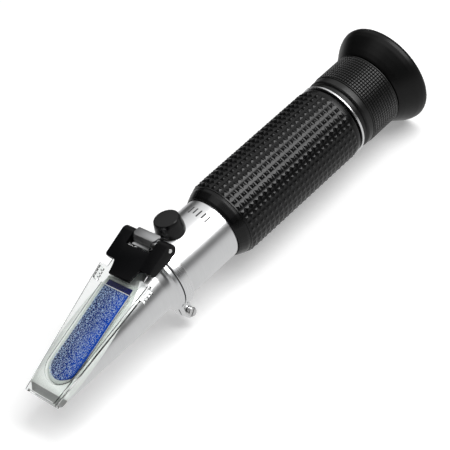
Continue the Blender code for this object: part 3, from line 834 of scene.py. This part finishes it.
cuts = [2 * math.pi * k / TEETH for k in range(TEETH)]
collar = Skin()
lines = [collar.ring(KNURL_FRONT + run * KNURL, KNURL_R - CUT, cuts) for run in range(RUNS + 1)]
for run, (low, high) in enumerate(zip(lines, lines[1:])):
    for k in range(TEETH):
        j = (k + 1) % TEETH
        turn = 2 * math.pi * (k + 0.5) / TEETH
        middle = KNURL_FRONT + (run + 0.5) * KNURL
        collar.stud((low[k], low[j], high[j], high[k]), middle, turn, CROWN, CROWN / KNURL_R, KNURL_R)
rims = ((76.72, 13.72), (76.95, 13.72), (77.28, 13.4), (77.28, 12.6),
        (64.17, 12.6), (64.17, 13.55), (64.35, 13.72), (64.55, 13.72))
around = [lines[-1]] + [collar.ring(x, radius, cuts) for x, radius in rims] + [lines[0]]
for low, high in zip(around, around[1:]):
    collar.band(low, high)
knurl = solid("eyepiece_knurl_cut", collar.points, collar.faces, on_axis)
finished(knurl, "eyepiece", [], anodised, angle=24)

coated_glass, start = finish("coated_glass")
smear = start.grain((260, 260, 260))
start.surface(
    Base_Color=start.ramp(smear, (0.2, (0.80, 0.88, 0.93, 1)), (0.8, (0.90, 0.95, 0.99, 1))),
    Roughness=smear * 0.03 + 0.01, Transmission_Weight=1.0, IOR=1.52, Coat_Weight=0.3,
)
quarter = [math.pi / 2 * k / 12 for k in range(13)]
bulge = [(69.6 + 1.3 * (1 - math.cos(t)), 10.3 * math.sin(t)) for t in quarter]
eye_lens = turned("eye_lens_ground", bulge + [(73.2 - (x - 69.6), r) for x, r in reversed(bulge)], steps=128)
finished(eye_lens, "eyepiece", ["eye_lens"], coated_glass)
keeper = turned(
    "lens_retaining_ring_turned",
    [(75, 8.4, 0.3), (75, 10.3), (77, 10.3, 0.1), (77, 8.4, 0.5)], steps=128,
)
for way in (-1, 1):
    spanner_slot = [(76.2, 8.0 * way), (78, 8.0 * way), (78, 10.8 * way), (76.2, 10.8 * way)]
    joined(keeper, slab("spanner_slot", spanner_slot, -0.6, 0.6, across))
finished(keeper, "eyepiece", ["lens_retaining_ring"], anodised)

# ---------------------------------------------------------------- the eyecup
# Soft black rubber, moulded as a flare with a rolled rim, and pushed over the rear
# of the eyepiece. It keeps stray light from the eye.

cup_rubber = moulded("cup_rubber", (0.003, 0.003, 0.003), 0.36, gloss=0.22, relief=0.015, grains=1700)
cup = turned(
    "eyecup_moulded",
    [(77.6, 12.3), (77.6, 13.6, 0.25), (78.1, 14.1, 0.6), (79.4, 15.1, 3), (81.6, 16.55, 4),
     (83.4, 17.65, 4), (84.9, 18.25, 2), (86.0, 18.45, 0.8), (86.9, 18.2, 0.6), (87.5, 17.3, 0.7),
     (87.5, 15.5, 0.5), (86.3, 14.9, 1), (84, 13.2, 3), (81.2, 10.8, 0.6), (80.3, 10.8, 0.2), (80.3, 12.3)],
    steps=192,
)
finished(cup, "eyepiece", ["eyecup"], cup_rubber, angle=50)

# ---------------------------------------------------------------- the studio
# A pale floor, a long softbox in front, turned across the tube, and a weak one above.
# The white tent has a dark band round it above the floor, which draws the grey line
# along the metal, and one dim side, whose reflection keeps the plate and bracket dark.

pale_floor, start = finish("pale_floor")
paper = start.grain((60, 60, 60))
start.surface(
    Base_Color=start.ramp(paper, (0.2, 0.88), (0.8, 0.91)), Roughness=paper * 0.1 + 0.75,
    Emission_Color=(1, 1, 1, 1), Emission_Strength=0.3,
)
sheet = [(-9, -9), (9, -9), (9, 9), (-9, 9)]
floor = slab("floor", sheet, -0.0042, -0.0002, lambda x, y, z: Vector((x, y, z)))
floor.data.materials.append(pale_floor)
floor.visible_glossy = False

tent = bpy.data.worlds.new("tent")
tent.use_nodes = True
tent.node_tree.nodes.clear()
start = Strand(tent.node_tree)
direction = start.node("ShaderNodeTexCoord", out="Generated")
along, aside, rise = (start.node("ShaderNodeSeparateXYZ", out=name, Vector=direction) for name in "XYZ")
wall = start.ramp(
    rise * 0.5 + 0.5,
    (0.0, 0.75), (0.38, 0.72), (0.45, 0.5), (0.50, 0.04),
    (0.66, 0.02), (0.70, 0.2), (0.77, 0.65), (0.86, 0.9),
)
dim_side = start.ramp(along - aside * 0.4 + 0.5, (0.2, 0.12), (0.62, 1.0))
wall = start.blend(rise > 0.0, wall, start.blend(dim_side, (0, 0, 0, 1), wall))
seen = start.node("ShaderNodeLightPath", out="Is Camera Ray")
air = start.node("ShaderNodeBackground", Color=start.blend(seen, wall, (0.88, 0.88, 0.88, 1)), Strength=1.0)
start.node("ShaderNodeOutputWorld", out=None, Surface=air)
bpy.context.scene.world = tent


def softbox(name, place, size, power, turn=0):
    """A light of that size that faces the tube, turned about its own middle by so many degrees."""
    lamp = bpy.data.lights.new(name, "AREA")
    lamp.shape, lamp.size, lamp.size_y, lamp.energy = "RECTANGLE", size[0], size[1], power
    stand = bpy.data.objects.new(name, lamp)
    stand.location = place
    facing = (Vector((0, 0, 0.02)) - Vector(place)).to_track_quat("-Z", "Y").to_matrix()
    stand.rotation_euler = (facing @ Matrix.Rotation(math.radians(turn), 3, "Z")).to_euler()
    bpy.context.scene.collection.objects.link(stand)


softbox("front_softbox", (0.32, -0.35, 0.57), (0.26, 0.62), 3.8, turn=-35)
softbox("top_softbox", (-0.15, 0.05, 0.8), (0.5, 0.5), 0.7)

view = bpy.data.cameras.new("camera")
view.lens, view.sensor_width, view.clip_start = 128.0, 36.0, 0.01
camera = bpy.data.objects.new("camera", view)
camera.location = (-0.22195, -0.34664, 0.33118)
ahead = Vector((0.4281, 0.6684, -0.60825)).to_track_quat("-Z", "Y")
camera.rotation_euler = (ahead.to_matrix() @ Matrix.Rotation(math.radians(-20.8), 3, "Z")).to_euler()
bpy.context.scene.collection.objects.link(camera)
bpy.context.scene.camera = camera
bpy.context.scene.view_settings.view_transform = "Standard"
